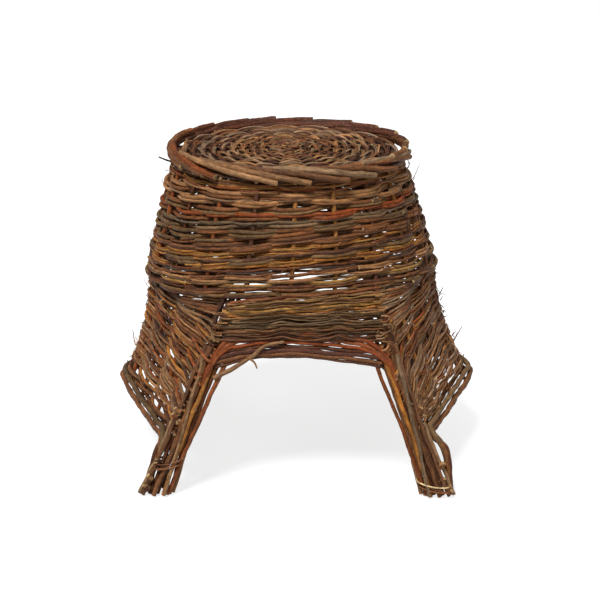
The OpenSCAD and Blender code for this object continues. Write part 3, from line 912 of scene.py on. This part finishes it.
def rim():
    """The border of the round top, two rods under it and a stub on the left."""
    bundle = Bundle()
    for k in range(BAYS):
        rim_rod(bundle, k)
    for down, inward in RIM_UNDER:
        az = np.arange(0, 364, 8) + rng.uniform(0, 360)
        r = rim_r - inward - 2.5 * (1 - np.sin(np.radians(az)))
        under = ring_point(az, r, np.full(len(az), top_z - down))
        bundle.rod(under, 5.6, shade("umber"), wobble=0.5, sides=8, step=4)
    root = body_point(-170.0, top_z - 20, 2.0)
    stub = [root, root + [-6, -2, 2], root + [-17, -4, 7]]
    bundle.rod(stub, 2.6, shade("umber"), tip=0.7, wobble=0.2, knots=6, sides=6, step=2)
    bundle.piece("rim_rods", "rim_willow", name="willow_rim")


# ---------------- arch panels
PANEL_PITCH = 2.7
PANEL_HIGH = -3.0  # where the panel's first and last rods lie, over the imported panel's
PANEL_LOW = -12.0
PANEL_OUT = 0.5  # how far its middle stands in front of the arch's plane
PANEL_LEFT = (76, 22)  # its reach to the left at the top, and how much that grows downward
PANEL_RIGHT = (92, 5)
PANEL_TILT = 9  # how much its top rises towards the right corner
PANEL_LUMP = 12  # half the width of the hump over a stake
# Colours down to a share of the panel's height.
PANEL_TONES = (
    (0.42, ("ochre", "straw", "tan", "brown", "rust", "ochre", "olive")),
    (0.8, ("olive", "olive", "brown", "grey")),
    (2.0, ("umber", "olive", "brown")),
)
BEHIND_TONES = ("umber", "brown", "olive")
FRAY_TONES = ("tan", "dusty", "brown")


def panel_tilt(share, x):
    """How much higher the panel lies at a place across it."""
    return PANEL_TILT * (1 - share) * x / PANEL_RIGHT[0]


def panel_rod(bundle, sy, share, z, left, right, depth, width, tones):
    """One thin rod of a panel, bulging over the two stakes behind it."""
    x = np.linspace(left, right, 16)
    lump = sum(np.exp(-((x - stake_x) / PANEL_LUMP) ** 2) for stake_x in ARCH_STAKES.values())
    y = -arch_plane - PANEL_OUT + depth - 3.5 * lump + 3.5 * (np.abs(x) / 95) ** 6
    up = z + panel_tilt(share, x) + 4.6 * lump * (0.6 + 0.5 * share) + rng.normal(0, 0.35)
    bundle.rod(to_end(np.stack([x, y, up], axis=-1), sy), width, pick(tones), tip=0.78,
               wobble=1.2, sides=6, step=3.2)


def fray(bundle, sy, share, z, edge):
    """A cut end that sticks out of a panel's left or right edge."""
    way = np.sign(edge)
    y = -arch_plane - PANEL_OUT - 3
    start = np.array([edge + rng.uniform(-4, 4), y, z + panel_tilt(share, edge)])
    end = start + [way * rng.uniform(1, 7), rng.uniform(-4, 1), rng.uniform(-1, 5)]
    path = np.array([start - [way * 6, 0, 0], start, end])
    bundle.rod(to_end(path, sy), rng.uniform(1.6, 2.6), pick(FRAY_TONES), tip=0.7, wobble=0.2,
               sides=6, step=2)


def panel(sy):
    """A dense band over an arch: rods with darker ones behind, thin ones in front, frayed ends."""
    bundle = Bundle()
    high = panel_high[2] + PANEL_HIGH
    low = panel_low[2] + PANEL_LOW
    count = int((high - low) / PANEL_PITCH)
    for i in range(count):
        share = i / (count - 1)
        z = high + (low - high) * share
        left = -(PANEL_LEFT[0] + PANEL_LEFT[1] * share) - rng.uniform(0, 6)
        right = PANEL_RIGHT[0] + PANEL_RIGHT[1] * share + rng.uniform(0, 6)
        tones = next(names for limit, names in PANEL_TONES if share < limit)
        panel_rod(bundle, sy, share, z, left, right, rng.normal(0, 0.7), rng.uniform(2.8, 3.7), tones)
        for behind in (3.2, 6.0):
            panel_rod(bundle, sy, share, z - PANEL_PITCH * rng.uniform(0, 1), left + 2, right - 2,
                      behind, rng.uniform(3.6, 4.6), BEHIND_TONES)
        if i % 2 == 0:
            panel_rod(bundle, sy, share, z + 1.5, left + rng.uniform(-4, 40),
                      right - rng.uniform(-4, 60), -2.6, rng.uniform(1.5, 2.4), tones)
        for edge in (left, right):
            if rng.uniform() >= 0.3:
                fray(bundle, sy, share, z, edge)
    bundle.piece(f"{END[sy]}_panel", "panel_willow", "woven")


ARCH_RODS = (
    # height of its ends, rise of its middle, reach to each side, width, colour
    (182, 15, 101, 6.2, "red"), (177, 15, 98, 6.0, "rust"), (173, 13, 99, 5.2, "red"),
    (172, 8, 98, 5.6, "umber"), (167, 9, 97, 6.0, "plum"), (161, 11, 97, 5.6, "brown"),
    (156, 13, 96, 4.4, "umber"),
)
TURNED = ("red", "rust")  # the arch rods that bend on down the legs
TURN_FALLS = (44, 17)
# A stray twig over the left of the front arch, and its spur.
TWIG = ((-97, -5, 143), (-72, -6, 158), (-52, -6, 172), (-38, -5, 183), (-16, -3, 188))
SPUR = ((-58, -7, 170), (-50, -8, 164), (-47, -8, 157))


def arch_rods(sy):
    """Rods bowed under a panel; the orange ones turn down the legs."""
    bundle = Bundle()
    y = -arch_plane - 1
    for height, rise, reach, width, name in ARCH_RODS:
        x = np.linspace(-reach, reach, 11)
        z = height + rise * (1 - (x / reach) ** 2) - 1.5 * np.sin(x / 30)
        path = np.stack([x, np.full(11, y + rng.uniform(-1, 2)), z], axis=-1)
        if name in TURNED:
            turns = [leg_point(side, -1, height - fall) + [-side * 5, -3, 0]
                     for side in (-1, 1) for fall in TURN_FALLS]
            path = np.concatenate([turns[:2], path[1:-1], turns[:1:-1]])
        bundle.rod(to_end(path, sy), width, shade(name), tip=0.8, wobble=0.8, sides=8, step=3)
    if sy < 0:
        bundle.rod(np.array(TWIG) + [0, y, 0], 6.0, shade("tan"), tip=0.5, wobble=0.8, bud=0.3,
                   sides=8, step=3)
        bundle.rod(np.array(SPUR) + [0, y, 0], 3.4, shade("tan"), tip=0.5, wobble=0.2, sides=6, step=2)
    bundle.piece(f"{END[sy]}_arch_rods", "arch_willow")


# ---------------- legs
LEG_RODS = (
    # places across at the shoulder, the knee and the foot, depth, top, bottom, width, colour
    (-12, -13, -20, 2, 0.50, 0.0, 6.5, "grey"),
    (-9, -10, -14, -2, 1.02, 0.0, 6.0, "brown"),
    (-5, -6, -8, 1, 1.12, 0.0, 7.0, "umber"),
    (-1, -1, -3, -3, 1.06, 0.0, 6.5, "brown"),
    (4, 3, 3, 2, 1.16, 0.0, 7.0, "umber"),
    (8, 8, 9, -3, 1.02, 0.0, 6.5, "ochre"),
    (13, 11, 15, 1, 0.96, 0.0, 6.5, "brown"),
    (9, 12, 19, 3, 0.86, 0.0, 5.5, "tan"),
    # These two lie behind the others in a painted shade colour, standing in for the shadow in the gaps
    # between the leg's rods.
    (1, 2, -1, 6, 1.0, 0.03, 6.5, "painted_shade"),
    (-6, -4, 8, 6, 0.9, 0.03, 6.0, "painted_shade"),
    (21, 15, 13, -1, 0.90, 0.0, 5.5, "rust"),
    (-9, 2, 10, -5, 0.96, 0.02, 5.0, "grey"),
)
KNEE = 0.42
STUB_HEIGHTS = (7, 11, 22, 36, 41, 98, 103)


def leg(sx, sy):
    """A leg: thick rods, tucked behind the weave at the top, and cut stubs beside them."""
    bundle = Bundle()
    for top_u, knee_u, low_u, depth, high, low, width, name in LEG_RODS:
        points = []
        shift = rng.normal(0, 1.2, 3)
        for share in np.linspace(high, low, 7):
            u = np.interp(share, (0, KNEE, 1), (low_u + shift[0], knee_u + shift[1], top_u + shift[2]))
            z = max(share * shoulder_z, 1.8)
            tuck = 9 * np.clip((share - 0.78) / 0.25, 0, 1)
            points.append(leg_point(sx, sy, z) + [-sx * u, -sy * (1.3 * depth + tuck), 0])
        bundle.rod(points, width * rng.uniform(0.78, 1.05), shade(name), tip=0.88, wobble=0.8,
                   knots=32, bud=0.18, sides=9, step=3)
    for z in STUB_HEIGHTS:
        root = leg_point(sx, sy, z) + [sx * rng.uniform(9, 17), sy * rng.uniform(0, 5), 0]
        end = root + [sx * rng.uniform(3, 6), sy * rng.uniform(0, 4), rng.uniform(2, 7)]
        bundle.rod([root, (root + end) / 2 + [0, 0, -1], end], rng.uniform(4.5, 6.5),
                   pick(("brown", "tan", "umber")), tip=0.9, wobble=0.2, knots=9, sides=8, step=2)
    bundle.piece(f"{END[sy]}_{SIDE[sx]}_leg", "leg_willow")


BORDER_RODS = (
    # out, down, width, colour
    (5.5, 0, 6.5, "olive"), (6.0, 7, 6.0, "brown"), (2.0, 12, 5.5, "umber"),
    (-4.5, 2, 6.0, "brown"), (-4.0, 8, 5.5, "plum"),
)
EDGE_GAP = {1: 21.0, -1: 14.0}  # from a front leg's middle out to the border's rods
FRONT_ENDS = ((5, 0.7), (32, 1.0), (58, 1.15))  # their heights there, and shares of that gap
BACK_ENDS = (40, 5)
BACK_GAP = 13


def border(s):
    """Rods from foot to foot under a side's weave."""
    bundle = Bundle()
    for out, drop, width, name in BORDER_RODS:
        t = np.linspace(-0.93, 0.96, 17)
        along = side_point(s, t, border_line(s, t) - drop + 3, out)
        front = [leg_point(s, -1, z) + [s * (gap * EDGE_GAP[s] + drop * 0.3), 5, 0]
                 for z, gap in FRONT_ENDS]
        back = [leg_point(s, 1, z) + [s * (BACK_GAP + drop * 0.3), -5, 0] for z in BACK_ENDS]
        path = np.concatenate([front, along, back])
        bundle.rod(path, width, shade(name), tip=0.85, wobble=1.0, knots=36, sides=9, step=3.2)
    bundle.piece(f"{SIDE[s]}_border", "leg_willow")


# Height, half width and half depth of a wrap; the pale one is near the right front foot.
PALE_WRAP = (17, 20, 8.5)
BROWN_WRAP = (44, 17, 9)
WRAP_ROD = 2.4


def wrap(sx, sy):
    """Thin rods wound round a leg; one at the right front is a pale split rod."""
    bundle = Bundle()
    pale = sx > 0 and sy < 0
    middle_z, half_x, half_y = PALE_WRAP if pale else BROWN_WRAP
    for turn in range(3):
        z = middle_z - turn * 3.0
        angle = np.linspace(0, TAU * 0.97, 15) + rng.uniform(0, 6)
        middle = leg_point(sx, sy, z)
        x = middle[0] + half_x * np.cos(angle)
        y = middle[1] + half_y * np.sin(angle)
        up = z + 2.0 * np.sin(angle) - sx * 7 * np.cos(angle) * (1 if turn == 1 else 0.5)
        colour = shade("cream" if pale and turn == 0 else "brown")
        bundle.rod(np.stack([x, y, up], axis=-1), WRAP_ROD, colour, wobble=0.5, sides=6, step=3)
    bundle.piece(f"{END[sy]}_{SIDE[sx]}_wrap", "peeled_willow", "split")


# ---------------- build
for index in range(NODES):
    body_node(index)
for s in (-1, 1):
    for index in range(NODES):
        side_node(s, index)
    side_stakes(s)
    border(s)
for sy in (-1, 1):
    arch_stakes(sy)
    corner_stakes(sy)
    panel(sy)
    arch_rods(sy)
    for sx in (-1, 1):
        leg(sx, sy)
        wrap(sx, sy)
sticks("base_sticks_slit", 0)
sticks("base_sticks_threaded", 90)
lashing()
disc_weave()
rim()


# ---------------- floor, light and camera
FLOOR_HALF = 3.0  # metres
FLOOR_DROP = 0.0005  # under the feet
FLOOR_GREY = 0.40
FLOOR_GLOW = 0.78  # brings the floor to white where the camera sees it
WORLD_LIGHT = 0.15


def seen_rays(tree):
    """1 for rays by which the camera sees a surface, straight or in gloss or glass."""
    rays = node_of(tree, "LightPath").outputs
    seen = maths(tree, "MAXIMUM", rays["Is Camera Ray"], rays["Is Glossy Ray"])
    return maths(tree, "MAXIMUM", seen, rays["Is Transmission Ray"])


def floor():
    """A pale floor that the camera sees as white, with the object's shadow on it."""
    h = FLOOR_HALF
    mesh = bpy.data.meshes.new("floor")
    mesh.from_pydata([(-h, -h, 0), (h, -h, 0), (h, h, 0), (-h, h, 0)], [], [(0, 1, 2, 3)])
    thing = bpy.data.objects.new("floor", mesh)
    thing.location.z = -FLOOR_DROP
    bpy.context.scene.collection.objects.link(thing)
    mat = bpy.data.materials.new("floor_white")
    mat.use_nodes = True
    tree = mat.node_tree
    shader = tree.nodes["Principled BSDF"]
    shader.inputs["Base Color"].default_value = (FLOOR_GREY, FLOOR_GREY, FLOOR_GREY, 1)
    shader.inputs["Roughness"].default_value = 0.9
    shader.inputs["Specular IOR Level"].default_value = 0.1
    shader.inputs["Emission Color"].default_value = (1, 1, 1, 1)
    glow = maths(tree, "MULTIPLY", seen_rays(tree), FLOOR_GLOW)
    tree.links.new(glow, shader.inputs["Emission Strength"])
    mesh.materials.append(mat)


def surroundings():
    """A world that lights softly and that the camera sees as white."""
    world = bpy.data.worlds.new("studio")
    bpy.context.scene.world = world
    world.use_nodes = True
    tree = world.node_tree
    background = tree.nodes["Background"]
    background.inputs["Color"].default_value = (1, 1, 1, 1)
    rays = node_of(tree, "LightPath").outputs
    amount = node_of(tree, "MapRange", **{"To Min": WORLD_LIGHT, "To Max": 1.0})
    tree.links.new(rays["Is Camera Ray"], amount.inputs["Value"])
    tree.links.new(amount.outputs["Result"], background.inputs["Strength"])


def put(name, data, side, up, away, place=(0, 0, 0)):
    """A lamp or a camera at a place, facing against away."""
    thing = bpy.data.objects.new(name, data)
    turn = Matrix(np.stack([side, up, away], axis=1).tolist()).to_4x4()
    thing.matrix_world = Matrix.Translation(place) @ turn
    bpy.context.scene.collection.objects.link(thing)
    return thing


def sun(name, place, angle, power):
    """A broad soft light shining from a place towards the middle."""
    data = bpy.data.lights.new(name, "SUN")
    data.angle = math.radians(angle)
    data.energy = power
    away = np.array(place) / np.linalg.norm(place)
    side = np.cross((0, 0, 1), away)
    side = side / np.linalg.norm(side)
    put(name, data, side, np.cross(away, side), away)


ELEVATION = math.radians(18.7)
AZIMUTH = math.radians(0.36)
DISTANCE = 1873.2  # millimetres from the camera to the plane of the top's middle
SLIDE_UP = 192.7  # how far the picture's middle lies under the top's middle, and to its right
SLIDE_LEFT = 1.3
FOCAL = 92.6
SENSOR = 36
CLIP_START = 0.05


def camera():
    """Camera at the photograph's angle, aimed below the middle of the round top."""
    forward = np.array([
        -math.sin(AZIMUTH) * math.cos(ELEVATION),
        math.cos(AZIMUTH) * math.cos(ELEVATION),
        -math.sin(ELEVATION),
    ])
    right = np.array([math.cos(AZIMUTH), math.sin(AZIMUTH), 0])
    up = np.cross(right, forward)
    place = np.array([0, 0, top_z]) - DISTANCE * forward - SLIDE_UP * up + SLIDE_LEFT * right
    data = bpy.data.cameras.new("camera")
    data.sensor_width = SENSOR
    data.lens = FOCAL
    data.clip_start = CLIP_START
    bpy.context.scene.camera = put("camera", data, right, up, -forward, place * MM)


floor()
surroundings()
sun("key", (-0.55, -1.0, 1.9), angle=18, power=3.0)
sun("fill", (1.2, -1.0, 0.8), angle=60, power=0.45)
sun("back", (0.2, 1.0, 1.3), angle=60, power=0.35)
camera()
bpy.context.scene.view_settings.view_transform = "Standard"
